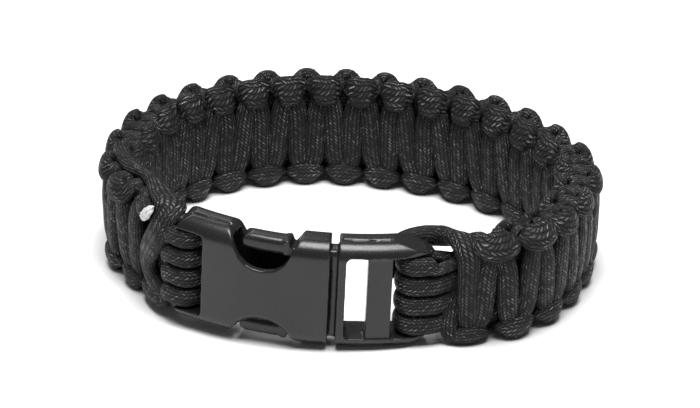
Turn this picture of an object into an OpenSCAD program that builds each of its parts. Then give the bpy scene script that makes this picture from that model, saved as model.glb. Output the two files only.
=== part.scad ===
// Paracord bracelet, closed: a cobra weave band of one flat cord thickness per rib,
// joined by a bent side-release buckle. The loop lies on its side on the ground,
// buckle at the front (-Y), band height along Z, all lengths in millimetres.

/* [Loop] */
// Outside width of the closed loop, side to side
loop_w = 97.6; // [88:0.2:108]
// Outside depth of the closed loop, buckle to back
loop_d = 74; // [68:0.2:82]

/* [Woven band] */
// Height of the band over its edge turns
band_h = 23; // [19:0.2:26]
// Thickness of the band over its ribs
band_t = 8.6; // [7:0.1:10]
// Length of band that one full knot takes
knot_len = 8; // [6.4:0.1:9.5]
// Distance from the band's start to its first outer turn at the top
turn_shift = 6.5; // [0:0.1:8]
// Depth of the grooves between the crossing strands
groove = 1.1; // [0.6:0.05:1.6]
// How far the band leans outwards from its foot to its top
flare = 0.8; // [0:0.1:2]
// How far an edge dips between two turns of the strand
edge_dip = 1.9; // [1:0.1:2.6]
// Sideways lean of a crossing strand over half the band height
strand_lean = 1.1; // [0:0.1:1.8]
// Path length from the plug's end bar to the first knot
plug_lead = 8; // [7:0.1:10]
// Path length from the socket's end bar to the last knot
socket_lead = 4.6; // [4.4:0.1:7]

/* [Cord loops on the bars] */
// Diameter of the round cord
cord_d = 4; // [3.4:0.1:4.4]
// Thickness of a strand pressed flat around a bar
flat_t = 2.3; // [1.8:0.1:2.6]
// Number of strands side by side around each bar
bar_strands = 4; // [3:1:5]
// Free space between neighbouring strands, and between strand and bar
strand_gap = 0.3; // [0.2:0.05:0.5]

/* [Buckle] */
// Height of both buckle halves
buckle_h = 22.4; // [20:0.2:26]
// Thickness of both buckle halves
buckle_t = 7.6; // [7:0.1:9]
// Radius of the bend that follows the wrist
bend_r = 56; // [50:1:75]
// How far the buckle stands out in front of the band's oval
buckle_out = 1.8; // [0:0.1:3]
// Angle by which the buckle is turned about the front-to-back line
roll = 2.5; // [0:0.1:4]
// Length of the socket half along the bend
socket_len = 31; // [29:0.2:36]
// Length of the plug half outside the socket
plug_len = 18; // [17:0.2:23]
// Gap between the socket mouth and the plug's collar
mouth_gap = 1.5; // [0.8:0.1:2]
// Rounding of the long edges at the front
edge_r = 3.5; // [2:0.1:3.6]
// Rounding of the long edges at the back
back_r = 2; // [1:0.1:2.6]
// Height of the rails beside the slots
rail_h = 2.5; // [2:0.1:3.2]
// Length of each cord bar along the bend
bar_len = 3; // [2.4:0.1:3.6]
// Thickness of each cord bar
bar_t = 2.8; // [2.2:0.1:3.2]

/* [Socket] */
// Length of the cord slot in the socket
socket_slot = 4.4; // [3:0.1:5]
// Thickness of the socket's front and back walls
socket_wall = 1.5; // [1.1:0.1:1.7]
// Width of the upper release opening at the top edge
notch_w = 15; // [12:0.2:16]
// Depth of the upper release opening at the front
notch_depth = 6.9; // [5:0.1:7.2]
// Radius of the lower release opening
notch_r = 8.2; // [7:0.1:9]
// Depth of the lower release opening at the front
notch_low = 5.6; // [4:0.1:7.2]
// Depth of the release openings at the back
notch_back = 4.8; // [4:0.1:5.6]
// Distance from the mouth to the middle of the release openings
notch_u = 12.1; // [11.5:0.1:14]
// Width of the bevel around the lower release opening
notch_bevel = 1.1; // [0.6:0.1:2]
// Width and depth of the parting line along the arms and the plug's rails
part_line = 0.5; // [0.2:0.05:0.6]
// Distance of the parting line outwards from the buckle's middle line
part_w = 0.1; // [-1.5:0.1:1.5]

/* [Plug] */
// Length of the plug's open window
window_len = 4.4; // [4:0.1:5.4]
// Length of the bar between window and cord slot
mid_bar = 4.5; // [3.8:0.1:5]
// Thickness of the plug's end wall at the mouth
collar_len = 1; // [0.8:0.1:2]
// Length of the cord slot in the plug
plug_slot = 3.7; // [3.4:0.1:4.4]
// How far the rails narrow towards their tips
tip_drop = 2.6; // [2:0.1:4]
// How far each face of the rails falls back towards the tips
tip_thin = 1.7; // [0:0.1:2.2]
// Length of the prongs, from the mouth into the socket
prong_len = 17; // [15:0.2:18]
// Height of a prong
prong_h = 3.4; // [2.4:0.1:3.6]
// Running clearance between plug and socket
clearance = 0.3; // [0.2:0.05:0.5]

/* [Hidden] */
$fn = 64;

// Colours
CORD = "#26262a";
PLASTIC = "#3c3c3f";
MELT = "#e8e6e0";

// Middle of the band's oval, set so that the whole stands centred on the origin
oval_x = -0.07;
oval_y = (buckle_out + (buckle_t - band_t) / 2) / 2 - 0.09;

// Buckle bend: u runs along the bend from the mouth, w outwards from its middle line
deg_per_mm = 180 / (PI * bend_r);
mouth_deg = -3.2;
bend_x = oval_x - 0.8;
bend_y = oval_y + bend_r - loop_d / 2 + band_t / 2 - buckle_out;
function u_deg(u) = mouth_deg + u * deg_per_mm;
function on_bend(u, w) = [bend_x + (bend_r + w) * sin(u_deg(u)), bend_y - (bend_r + w) * cos(u_deg(u))];
function bend_dir(u) = [cos(u_deg(u)), sin(u_deg(u))];

// Faces of parts that run into each other are set apart by steps of lap
lap = 0.1;
// Rim that the prong room leaves at the socket's top and bottom, and its free length past the prongs
room_rim = 1.5;
room_end = 2.6;
// Neck inside the mouth: distance from the buckle's faces, and how deep its core reaches in
neck_in = 1.7;
neck_len = 1.5;
// Guide between the prongs: share of the prongs' length, half its height
guide_share = 0.45;
guide_half = 2.6;

// Places along the bend
slot_h = buckle_h - 2 * rail_h;
socket_bar_u = -socket_len + bar_len / 2;
window_u = mouth_gap + collar_len;
mid_bar_u = window_u + window_len;
plug_slot_u = mid_bar_u + mid_bar;
plug_end_u = mouth_gap + plug_len;
plug_bar_u = plug_slot_u + plug_slot + bar_len / 2;
prong_t = buckle_t - 2 * socket_wall - 2 * clearance;
socket_depth = prong_len + room_end;

// Route of the band's middle line, anticlockwise from the plug to the socket.
// Columns: share of the half width, share of the half depth.
ROUTE = [
    [ 0.620, -0.955],
    [ 0.800, -0.795],
    [ 0.925, -0.520],
    [ 1.000, -0.130],
    [ 0.910,  0.190],
    [ 0.750,  0.490],
    [ 0.510,  0.745],
    [ 0.180,  0.930],
    [-0.200,  1.000],
    [-0.580,  0.880],
    [-0.860,  0.590],
    [-0.980,  0.210],
    [-0.985, -0.140],
    [-0.860, -0.430]];
half_w = (loop_w - band_t) / 2;
half_d = (loop_d - band_t) / 2;
plug_pt = on_bend(plug_bar_u, 0);
socket_pt = on_bend(socket_bar_u, 0);
knots_at = concat([plug_pt], [for (r = ROUTE) [oval_x + r[0] * half_w, oval_y + r[1] * half_d]], [socket_pt]);
span = norm(knots_at[1] - knots_at[0]);
guides = concat([plug_pt - bend_dir(plug_bar_u) * span], knots_at, [socket_pt + bend_dir(socket_bar_u) * span]);

// Smooth curve through the guide points
function curve(a, b, c, d, t) =
    0.5 * (2 * b + (c - a) * t + (2 * a - 5 * b + 4 * c - d) * t * t + (3 * b - a - 3 * c + d) * t * t * t);
steps = 12;
route = concat(
    [for (i = [1:len(guides) - 3], j = [0:steps - 1])
        curve(guides[i - 1], guides[i], guides[i + 1], guides[i + 2], j / steps)],
    [socket_pt]);
function lengths(pts, i = 1, so_far = [0]) =
    i == len(pts) ? so_far
    : lengths(pts, i + 1, concat(so_far, [so_far[i - 1] + norm(pts[i] - pts[i - 1])]));
route_s = lengths(route);
route_len = route_s[len(route) - 1];
x_by_s = [for (i = [0:len(route) - 1]) [route_s[i], route[i][0]]];
y_by_s = [for (i = [0:len(route) - 1]) [route_s[i], route[i][1]]];
// Beyond either bar the route runs on along the buckle's bend
function route_at(s) =
    s < 0 ? on_bend(plug_bar_u + s, 0)
    : s > route_len ? on_bend(socket_bar_u + s - route_len, 0)
    : [lookup(s, x_by_s), lookup(s, y_by_s)];
function unit(v) = v / norm(v);
function heading(s) = unit(route_at(s + 0.9) - route_at(s - 0.9));
// A point at path length s, w outwards and z up
function on_route(s, w, z) =
    let (p = route_at(s), h = heading(s)) [p[0] + w * h[1], p[1] - w * h[0], z];
// The buckle and the strands on its bars, turned about the line x = roll_x and set down on the ground
roll_x = -2;
lift = 0.5;
module rolled() {
    translate([roll_x, 0, buckle_h / 2 + lift])
        rotate([0, roll, 0])
            translate([-roll_x, 0, -buckle_h / 2])
                children();
}

// Knots along the band
band_s0 = plug_lead;
band_len = route_len - plug_lead - socket_lead;
knots = round(2 * band_len / knot_len) / 2;
pitch = band_len / knots;
rings_per_knot = 8;

// Where the knots stand off an even spacing, in shares of a knot's length.
// Columns: share of the band's length, along the top edge, along the lower edge.
DRIFT = [
    [0.00,  0.05,  0.00],
    [0.05,  0.02, -0.01],
    [0.14, -0.06, -0.06],
    [0.25,  0.08, -0.20],
    [0.34,  0.20, -0.22],
    [0.46,  0.12, -0.10],
    [0.58, -0.04,  0.02],
    [0.70, -0.20,  0.24],
    [0.79, -0.40,  0.00],
    [0.89, -0.24, -0.36],
    [0.96, -0.30, -0.20],
    [1.00, -0.34,  0.00]];
drift_top = [for (r = DRIFT) [r[0] * band_len, r[1] * pitch]];
drift_low = [for (r = DRIFT) [r[0] * band_len, r[2] * pitch]];
// Length along the band from the first outer turn at the top, by the knots' own spacing
function phase(s, up) =
    s - turn_shift - ((1 + up) * lookup(s, drift_top) + (1 - up) * lookup(s, drift_low)) / 2;

// Section of the band. Columns: share of the half thickness outwards, share of the
// half height upwards, how much of the edge dip, how much of the groove it takes.
SECTION = [
    [ 0.93, -0.72, 0.1, 0.9],
    [ 1.00, -0.42, 0,   1],
    [ 1.00, -0.14, 0,   1],
    [ 1.00,  0.14, 0,   1],
    [ 1.00,  0.42, 0,   1],
    [ 0.93,  0.72, 0.1, 0.9],
    [ 0.90,  0.90, 0.8, 0.3],
    [ 0.52,  1.00, 1,   0],
    [ 0.12,  0.95, 0.7, 0],
    [-0.12,  0.95, 0.7, 0],
    [-0.52,  1.00, 1,   0],
    [-0.90,  0.90, 0.8, 0.3],
    [-0.93,  0.72, 0.1, 0.9],
    [-1.00,  0.36, 0,   1],
    [-1.00,  0.00, 0,   1],
    [-1.00, -0.36, 0,   1],
    [-0.93, -0.72, 0.1, 0.9],
    [-0.90, -0.90, 0.8, 0.3],
    [-0.52, -1.00, 1,   0],
    [-0.12, -0.95, 0.7, 0],
    [ 0.12, -0.95, 0.7, 0],
    [ 0.52, -1.00, 1,   0],
    [ 0.90, -0.90, 0.8, 0.3]];

// 1 in the middle of a turn that lies on this side and edge, 0 between two turns
function turn(s, side, up) = (1 + sign(side) * sign(up) * cos(360 * phase(s, up) / pitch)) / 2;
// 0 on the crest of a crossing strand, 1 in the groove beside it; the strands close in
// under a turn that lies on their own face
function dip(s, side, up) =
    let (t = phase(s, up), shift = sign(side) * strand_lean * up * sin(360 * t / pitch))
    1 - abs(sin(360 * (t + shift) / pitch));
// Share of an edge dip by which the band also thins there
edge_pull = 0.35;
function band_point(s, row) =
    let (side = row[0], up = row[1], low = edge_dip * row[2] * (1 - turn(s, side, up)),
         w = side * (band_t / 2 - edge_pull * low) - sign(side) * groove * row[3] * dip(s, side, up) + flare * up / 2,
         z = band_h / 2 + up * band_h / 2 - sign(up) * low)
    on_route(band_s0 + s, w, z);

// Bare core strands beyond the knots: half thickness, share of the band's height, length at either end
core_w = 1.1;
core_share = 0.56;
core_plug = 4.4;
core_socket = 1.5;
function core_ring(s) =
    [for (row = SECTION) on_route(band_s0 + s, core_w * row[0], (1 + core_share * row[1]) * band_h / 2)];

// Closed tube through rings of equal point counts, with flat ends
module skin(rings) {
    n = len(rings[0]);
    last = len(rings) - 1;
    points = [for (r = rings, p = r) p];
    sides = [for (i = [0:last - 1], j = [0:n - 1])
        let (a = i * n + j, b = i * n + (j + 1) % n) each [[a, b, b + n], [a, b + n, a + n]]];
    caps = [[for (j = [n - 1:-1:0]) j], [for (j = [0:n - 1]) last * n + j]];
    polyhedron(points, concat(sides, caps), convexity = 10);
}

// Solid of revolution about the bend's own axis, from u0 to u1, drawn in (w, z)
module bent(u0, u1) {
    translate([bend_x, bend_y, 0])
        rotate([0, 0, u_deg(u0) - 90])
            rotate_extrude(angle = (u1 - u0) * deg_per_mm, $fn = 256)
                translate([bend_r, 0])
                    children();
}

// Straight prism through the thickness at u, drawn in (distance from u, z)
module through(u, w0 = -buckle_t, w1 = buckle_t) {
    translate([bend_x, bend_y, 0])
        rotate([0, 0, u_deg(u)])
            translate([0, -bend_r - w0, 0])
                rotate([90, 0, 0])
                    linear_extrude(w1 - w0)
                        children();
}

module rounded_box(x0, x1, y0, y1, r) {
    translate([x0, y0]) {
        translate([r, 0]) square([x1 - x0 - 2 * r, y1 - y0]);
        translate([0, r]) square([x1 - x0, y1 - y0 - 2 * r]);
        for (x = [r, x1 - x0 - r], y = [r, y1 - y0 - r]) translate([x, y]) circle(r);
    }
}

// Section of either buckle half: long edges rounded, more at the front than at the back
module buckle_section() {
    x = buckle_t / 2;
    polygon([
        [-x + back_r, 0], [x - edge_r, 0], [x, edge_r], [x, buckle_h - edge_r],
        [x - edge_r, buckle_h], [-x + back_r, buckle_h], [-x, buckle_h - back_r], [-x, back_r]]);
    for (z = [edge_r, buckle_h - edge_r]) translate([x - edge_r, z]) circle(edge_r);
    for (z = [back_r, buckle_h - back_r]) translate([-x + back_r, z]) circle(back_r);
}

// Parting line in the top and bottom edges, from u0 to u1
module parting(u0, u1) {
    for (z = [-part_line, buckle_h - part_line])
        bent(u0, u1) translate([part_w - part_line / 2, z]) square([part_line, 2 * part_line]);
}

module cord_bar(u) {
    bent(u - bar_len / 2, u + bar_len / 2)
        rounded_box(-bar_t / 2, bar_t / 2, rail_h - 1, buckle_h - rail_h + 1, 0.7);
}

// One face of a release opening, along +Z from the middle of the thickness
module opening_face() {
    inner = notch_r - notch_bevel;
    over = 0.4;
    translate([0, 0, -0.2]) cylinder(h = buckle_t, r = inner);
    translate([0, 0, buckle_t / 2 - notch_bevel - over])
        cylinder(h = notch_bevel + 2 * over, r1 = inner - over, r2 = notch_r + over);
}

// Lower release opening: circular, with a bevel on both faces, shallower at the back
module lower_opening() {
    translate([bend_x, bend_y, 0])
        rotate([0, 0, u_deg(-notch_u)])
            translate([0, -bend_r, 0]) {
                translate([0, 0, notch_low - notch_r]) rotate([90, 0, 0]) opening_face();
                translate([0, 0, notch_back - notch_r]) rotate([-90, 0, 0]) opening_face();
            }
}

// Outline of the upper release opening: a round shoulder towards the arm, steep towards the mouth.
// Columns: share of the half width along the bend, share of the depth.
OPENING = [
    [-1.12, -0.20],
    [-1.02,  0.00],
    [-0.93,  0.09],
    [-0.84,  0.25],
    [-0.76,  0.48],
    [-0.65,  0.70],
    [-0.48,  0.88],
    [-0.24,  0.98],
    [ 0.04,  1.00],
    [ 0.30,  0.93],
    [ 0.50,  0.78],
    [ 0.64,  0.57],
    [ 0.74,  0.32],
    [ 0.84,  0.08],
    [ 0.95, -0.20]];
module upper_opening() {
    for (face = [[notch_depth, 0, buckle_t], [notch_back, -buckle_t, lap]])
        through(-notch_u, face[1], face[2])
            polygon([for (r = OPENING) [r[0] * notch_w / 2, buckle_h - r[1] * face[0]]]);
}

module socket_buckle() {
    color(PLASTIC) {
        difference() {
            intersection() {
                bent(-socket_len, 0) buckle_section();
                through(-socket_len / 2)
                    rounded_box(-socket_len / 2, socket_len / 2 + 6, -0.3, buckle_h + 0.3, 5.2);
            }
            // Room for the prongs and the guide
            bent(-socket_depth, 0.5)
                rounded_box(-prong_t / 2 - clearance, prong_t / 2 + clearance, room_rim, buckle_h - room_rim, 0.6);
            lower_opening();
            upper_opening();
            // Cord slot and the space around the end bar
            through(-socket_len + (bar_len + socket_slot) / 2)
                rounded_box(-(bar_len + socket_slot) / 2 - 3, (bar_len + socket_slot) / 2,
                            rail_h, buckle_h - rail_h, 0.8);
            parting(-socket_len - 0.5, -notch_u - 2);
        }
        cord_bar(socket_bar_u);
    }
}

// Room left around the frame where it keeps its full section
frame_over = 0.4;

// Outline of the plug's frame in (u, z): curving in towards the tips
module frame_outline() {
    straight = 0.4 * plug_len;
    low = [for (k = [0:0.1:1]) [straight + k * (plug_len - straight), (tip_drop + frame_over) * pow(k, 1.8) - frame_over]];
    high = [for (i = [len(low) - 1:-1:0]) [low[i][0], buckle_h - low[i][1]]];
    polygon(concat([[-1, -frame_over]], low, high, [[-1, buckle_h + frame_over]]));
}

// Plan of the plug's frame: thinner towards the tips
module frame_plan() {
    straight = mouth_gap + 0.4 * plug_len;
    us = concat([mouth_gap - 1], [for (k = [0:0.1:1]) straight + k * (plug_end_u + 1 - straight)]);
    half = [for (u = us)
        let (k = max(0, u - straight) / (plug_end_u - straight))
        buckle_t / 2 + frame_over - (tip_thin + frame_over) * pow(k, 1.6)];
    n = len(us);
    translate([0, 0, -1])
        linear_extrude(buckle_h + 2)
            polygon(concat(
                [for (i = [0:n - 1]) on_bend(us[i], half[i])],
                [for (i = [n - 1:-1:0]) on_bend(us[i], -half[i])]));
}

// Prongs along the buckle's top and bottom: rounding, distance from the edge, length of the
// sloping root, how much lower it starts, how far it steps down behind the opening's edge and
// where it levels out
prong_r = 1.4;
prong_edge = 0.5;
root_len = 7.9;
root_drop = 1.9;
root_step = 1.4;
root_flat = 2.5;

// Outline of a prong's finger in (u, z), measured from the mouth, with a blunt nose
module finger_outline() {
    top = buckle_h - prong_edge;
    low = top - prong_h;
    polygon([
        [-root_len, top + lap],
        [-prong_len + 1.8, top + lap],
        [-prong_len + 0.7, top - 0.5],
        [-prong_len + 0.1, top - 1.3],
        [-prong_len, top - 2],
        [-prong_len + 0.5, low + 0.7],
        [-prong_len + 1.7, low + 0.1],
        [-prong_len + 2.6, low - lap],
        [-root_len, low - lap]]);
}

// Outline of a prong's root, sloping down from the finger to the guide
module root_outline() {
    top = buckle_h - prong_edge - lap;
    low = top - prong_h + 2 * lap;
    polygon([
        [mouth_gap + 6 * lap, top - root_drop],
        [-root_flat, top - root_drop],
        [-root_len + 0.7, top - root_step],
        [-root_len + 0.2, top],
        [-root_len - 0.8, top],
        [-root_len - 0.8, low],
        [-root_len + 0.6, low],
        [-root_flat, low - root_drop],
        [mouth_gap + 6 * lap, low - root_drop]]);
}

// One prong, along the top edge
module prong() {
    half = prong_t / 2;
    intersection() {
        bent(-prong_len - 1, -root_len)
            rounded_box(-half, half, buckle_h - prong_edge - prong_h, buckle_h - prong_edge, prong_r);
        through(-prong_len / 2) translate([prong_len / 2, 0]) finger_outline();
    }
    intersection() {
        bent(-root_len - 2, mouth_gap + 5 * lap)
            rounded_box(-half + lap, half - lap, -1, buckle_h + 1, 0.4);
        through(-prong_len / 2) translate([prong_len / 2, 0]) root_outline();
    }
}

module plug_buckle() {
    color(PLASTIC) {
        difference() {
            intersection() {
                bent(mouth_gap, plug_end_u) buckle_section();
                through(mouth_gap + plug_len / 2)
                    translate([-plug_len / 2, 0]) frame_outline();
                frame_plan();
            }
            // Window and cord slot, one opening that the bars cross
            through(window_u + (plug_end_u - window_u) / 2)
                rounded_box(-(plug_end_u - window_u) / 2, (plug_end_u - window_u) / 2 + 4,
                            rail_h, buckle_h - rail_h, 1);
            parting(mouth_gap + 0.6, plug_slot_u);
        }
        bent(mid_bar_u, plug_slot_u)
            rounded_box(0.4, buckle_t / 2 - 0.5, rail_h - 0.6, buckle_h - rail_h + 0.6, 0.5);
        cord_bar(plug_bar_u);
        // Neck in the mouth, guide and prongs that reach into the socket
        bent(clearance, mouth_gap + 2 * lap)
            rounded_box(-buckle_t / 2 + neck_in, buckle_t / 2 - neck_in, neck_in, buckle_h - neck_in, 1.6);
        bent(-neck_len, mouth_gap + 3 * lap)
            rounded_box(-prong_t / 2 + 2 * lap, prong_t / 2 - 2 * lap,
                        room_rim + clearance, buckle_h - room_rim - clearance, 0.6);
        bent(-prong_len * guide_share, mouth_gap + 4 * lap)
            rounded_box(-prong_t / 2 + 3 * lap, prong_t / 2 - 3 * lap,
                        buckle_h / 2 - guide_half, buckle_h / 2 + guide_half, 0.5);
        for (flip = [0, 1]) translate([0, 0, flip * buckle_h]) mirror([0, 0, flip]) prong();
    }
}

// The core strands reach a little past either end, between the legs of the bar loops
module woven_band() {
    rings = concat(
        [core_ring(-core_plug), core_ring(0)],
        [for (i = [0:knots * rings_per_knot])
            [for (row = SECTION) band_point(i * pitch / rings_per_knot, row)]],
        [core_ring(band_len), core_ring(band_len + core_socket)]);
    color(CORD) skin(rings);
}

// Rounded flat section of a pressed strand: width along z, thickness outwards
function flat_section(wide, thick) =
    [for (a = [0:36:359])
        let (c = cos(a), q = sin(a))
        [sign(c) * pow(abs(c), 0.7) * thick / 2, sign(q) * pow(abs(q), 0.7) * wide / 2]];

// One strand laid around a bar: out along the front, round the bar, back along the rear.
// turned is 1 at the plug, where the legs run on along the route, and -1 at the socket.
module bar_loop(index, bar_s, turned, reach) {
    wide = (slot_h - (bar_strands + 1) * strand_gap) / bar_strands;
    z = rail_h + strand_gap + (index - 0.5) * wide + (index - 1) * strand_gap;
    r = bar_t / 2 + strand_gap + flat_t / 2;
    half_flat = (bar_len - bar_t) / 2 + 0.2;
    arc = [for (a = [-90:22.5:90]) [-half_flat - r * cos(a), -r * sin(a)]];
    legs = concat([[reach, r]], [[reach / 2, r]], [for (p = arc) [p[0], p[1]]], [[reach / 2, -r]], [[reach, -r]]);
    n = len(legs);
    rings = [for (i = [0:n - 1])
        let (before = legs[max(i - 1, 0)], after = legs[min(i + 1, n - 1)],
             d = unit(after - before), out = [-d[1], d[0]])
        [for (q = flat_section(wide, flat_t))
            on_route(bar_s + turned * (legs[i][0] + q[0] * out[0]), legs[i][1] + q[0] * out[1], z + q[1])]];
    color(CORD) rolled() skin(turned > 0 ? rings : [for (i = [n - 1:-1:0]) rings[i]]);
}

// Distance from the first or last knot to the ends of the legs
leg_end = 0.7;
module socket_loop(index) {
    bar_loop(index, route_len, -1, socket_lead - leg_end);
}

module plug_loop(index) {
    bar_loop(index, 0, 1, plug_lead - leg_end);
}

// Working strand that rises behind the plug's upper rail and leads over into the first knot.
// Columns: path length, distance outwards, height, half height of the strand.
lead_r = cord_d / 2 - 0.1;
lead_w = -buckle_t / 2 - lead_r - strand_gap;
lead_top = band_h - 2.5;
LEAD = [
    [-3.9, lead_w, lead_top - 8.6, lead_r],
    [-3.8, lead_w, lead_top - 6, lead_r],
    [-3.2, lead_w, lead_top - 3.9, lead_r],
    [-1.8, lead_w, lead_top - 2.5, lead_r],
    [ 0,   lead_w, lead_top - 1.8, lead_r],
    [ 2,   lead_w, lead_top - 1.4, lead_r],
    [ 3.8, lead_w + 0.6, lead_top - 0.9, lead_r - 0.1],
    [ 5.4, lead_w + 1.7, lead_top - 0.4, lead_r - 0.2],
    [ 6.7, lead_w + 3.2, lead_top - 0.1, lead_r - 0.3],
    [plug_lead - strand_gap, lead_w + 4.9, lead_top, lead_r - 0.3]];
function lead_at(i) = on_route(LEAD[i][0], LEAD[i][1], LEAD[i][2]);
module lead_strand() {
    n = len(LEAD);
    rings = [for (i = [0:n - 1])
        let (d = unit(lead_at(min(i + 1, n - 1)) - lead_at(max(i - 1, 0))),
             side = unit(cross([0, 0, 1], d)), up = cross(d, side))
        [for (a = [0:36:359]) lead_at(i) + lead_r * cos(a) * side + LEAD[i][3] * sin(a) * up]];
    color(CORD) skin(rings);
}

// Melted end of the cord, tucked against the last knots near the top edge
cut_s = band_s0 + band_len - 0.16 * pitch;
cut_r = cord_d / 2 - 0.2;
module cut_end() {
    p = on_route(cut_s, band_t / 2 - 0.2, band_h * 0.94);
    h = heading(cut_s);
    color(MELT)
        translate(p)
            rotate([0, 0, atan2(h[1], h[0])])
                rotate([55, 0, 0])
                    translate([0, 0, strand_gap])
                        cylinder(h = 1, r = cut_r);
}

rolled() socket_buckle();
rolled() plug_buckle();
woven_band();
lead_strand();
cut_end();
for (i = [1:bar_strands]) socket_loop(i);
for (i = [1:bar_strands]) plug_loop(i);
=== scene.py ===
"""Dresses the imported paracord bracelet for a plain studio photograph.

The loop lies on its side: z runs along the band's height, the buckle faces -y and the plug half
lies towards +x. Sizes are in millimetres up to the moment a mesh is filled, then in metres.
Band coordinates are s, the length along the band from the plug's bar, w, outwards from the
middle line, and v, upwards from the middle of the band's height.
"""

import logging
import math
from dataclasses import dataclass
from dataclasses import field
from enum import Enum

import bmesh
import bpy
import numpy as np
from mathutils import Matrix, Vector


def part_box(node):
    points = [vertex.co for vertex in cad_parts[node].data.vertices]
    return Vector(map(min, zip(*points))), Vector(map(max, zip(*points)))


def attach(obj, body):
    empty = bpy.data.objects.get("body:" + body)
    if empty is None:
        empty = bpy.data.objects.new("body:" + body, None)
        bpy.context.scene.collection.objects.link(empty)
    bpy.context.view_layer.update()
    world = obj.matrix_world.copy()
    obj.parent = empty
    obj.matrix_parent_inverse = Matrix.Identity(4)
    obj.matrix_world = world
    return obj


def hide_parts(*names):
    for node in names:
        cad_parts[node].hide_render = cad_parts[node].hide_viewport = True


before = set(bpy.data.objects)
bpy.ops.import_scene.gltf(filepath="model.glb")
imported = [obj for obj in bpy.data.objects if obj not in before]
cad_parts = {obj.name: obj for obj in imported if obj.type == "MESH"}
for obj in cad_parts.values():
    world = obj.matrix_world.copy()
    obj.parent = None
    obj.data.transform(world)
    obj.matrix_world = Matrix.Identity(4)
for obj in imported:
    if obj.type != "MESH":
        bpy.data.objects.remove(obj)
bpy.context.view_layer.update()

Array = np.ndarray
Row = tuple[float, ...]
Socket = bpy.types.NodeSocket
Inputs = dict[str, object] | tuple[object, ...]

MM = 0.001
SHEATH_MAP = "sheath"

log = logging.getLogger("bracelet")


class Slot(Enum):
    """Names of the material slots."""

    CORD = "cord"
    BUCKLE = "buckle"
    MELTED = "melted_end"


class BarEnd(Enum):
    """The buckle bar that a pressed strand goes round, with the sense in which its legs run."""

    PLUG = 1.0
    SOCKET = -1.0


# Numbers into curves and meshes


def unit(v: Array) -> Array:
    """Rows of v divided by their own length."""
    return v / np.maximum(np.linalg.norm(v, axis=-1, keepdims=True), 1e-12)


def ease(x: Array) -> Array:
    """Smooth step: 0 up to x = 0, 1 from x = 1, and 3x^2 - 2x^3 between."""
    t = np.clip(x, 0.0, 1.0)
    return t * t * (3.0 - 2.0 * t)


def run_length(points: Array) -> Array:
    """Length along a line of points, up to each of them."""
    return np.concatenate([[0.0], np.cumsum(np.linalg.norm(np.diff(points, axis=0), axis=1))])


def smooth(rows: Array, step: float) -> Array:
    """Cubic Hermite curve through rows, sampled evenly along the chords.

    The slope at a row is the mean of the slopes on either side, each weighted by the length of
    the other side, so close rows don't make the curve swing out.

    Args:
        rows: Points with any number of columns, the first three of them a position.
        step: Distance between samples, measured along the chords.

    Returns:
        Samples with the same columns.
    """
    gaps = np.linalg.norm(np.diff(rows[:, :3], axis=0), axis=1)
    at = run_length(rows[:, :3])
    slope = np.diff(rows, axis=0) / gaps[:, None]
    before, after = gaps[:-1, None], gaps[1:, None]
    inner = (slope[:-1] * after + slope[1:] * before) / (before + after)
    slopes = np.vstack([slope[:1], inner, slope[-1:]])
    t = np.linspace(0.0, at[-1], int(at[-1] / step) + 2)
    i = np.clip(np.searchsorted(at, t, side="right") - 1, 0, len(gaps) - 1)
    h = gaps[i, None]
    x = (t - at[i])[:, None] / h
    start = (2 * x**3 - 3 * x**2 + 1) * rows[i] + (x**3 - 2 * x**2 + x) * h * slopes[i]
    stop = (3 * x**2 - 2 * x**3) * rows[i + 1] + (x**3 - x**2) * h * slopes[i + 1]
    return start + stop


def linked(data: bpy.types.ID) -> bpy.types.Object:
    """Puts a mesh, light or camera into the scene.

    Args:
        data: The mesh, light or camera.

    Returns:
        An object with its name.
    """
    piece = bpy.data.objects.new(data.name, data)
    bpy.context.scene.collection.objects.link(piece)
    return piece


def ring_mesh(name: str, points: Array) -> bpy.types.Object:
    """Makes a closed, smooth-shaded object from rings that turn anticlockwise about its run.

    Args:
        name: Name of the object and its mesh.
        points: Rings, the points of each and their coordinates in millimetres.

    Returns:
        The object, at the origin, unturned and unscaled.
    """
    rings, around = points.shape[:2]
    i = np.arange(rings - 1)[:, None] * around
    j = np.arange(around)[None, :]
    k = (j + 1) % around
    quads = np.stack([i + j, i + k, i + around + k, i + around + j], axis=-1).reshape(-1, 4)
    last = (rings - 1) * around
    caps = [list(range(around - 1, -1, -1)), list(range(last, last + around))]
    mesh = bpy.data.meshes.new(name)
    mesh.from_pydata((points.reshape(-1, 3) * MM).tolist(), [], quads.tolist() + caps)
    mesh.polygons.foreach_set("use_smooth", np.ones(len(mesh.polygons), dtype=bool))
    mesh.update()
    return linked(mesh)


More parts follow.
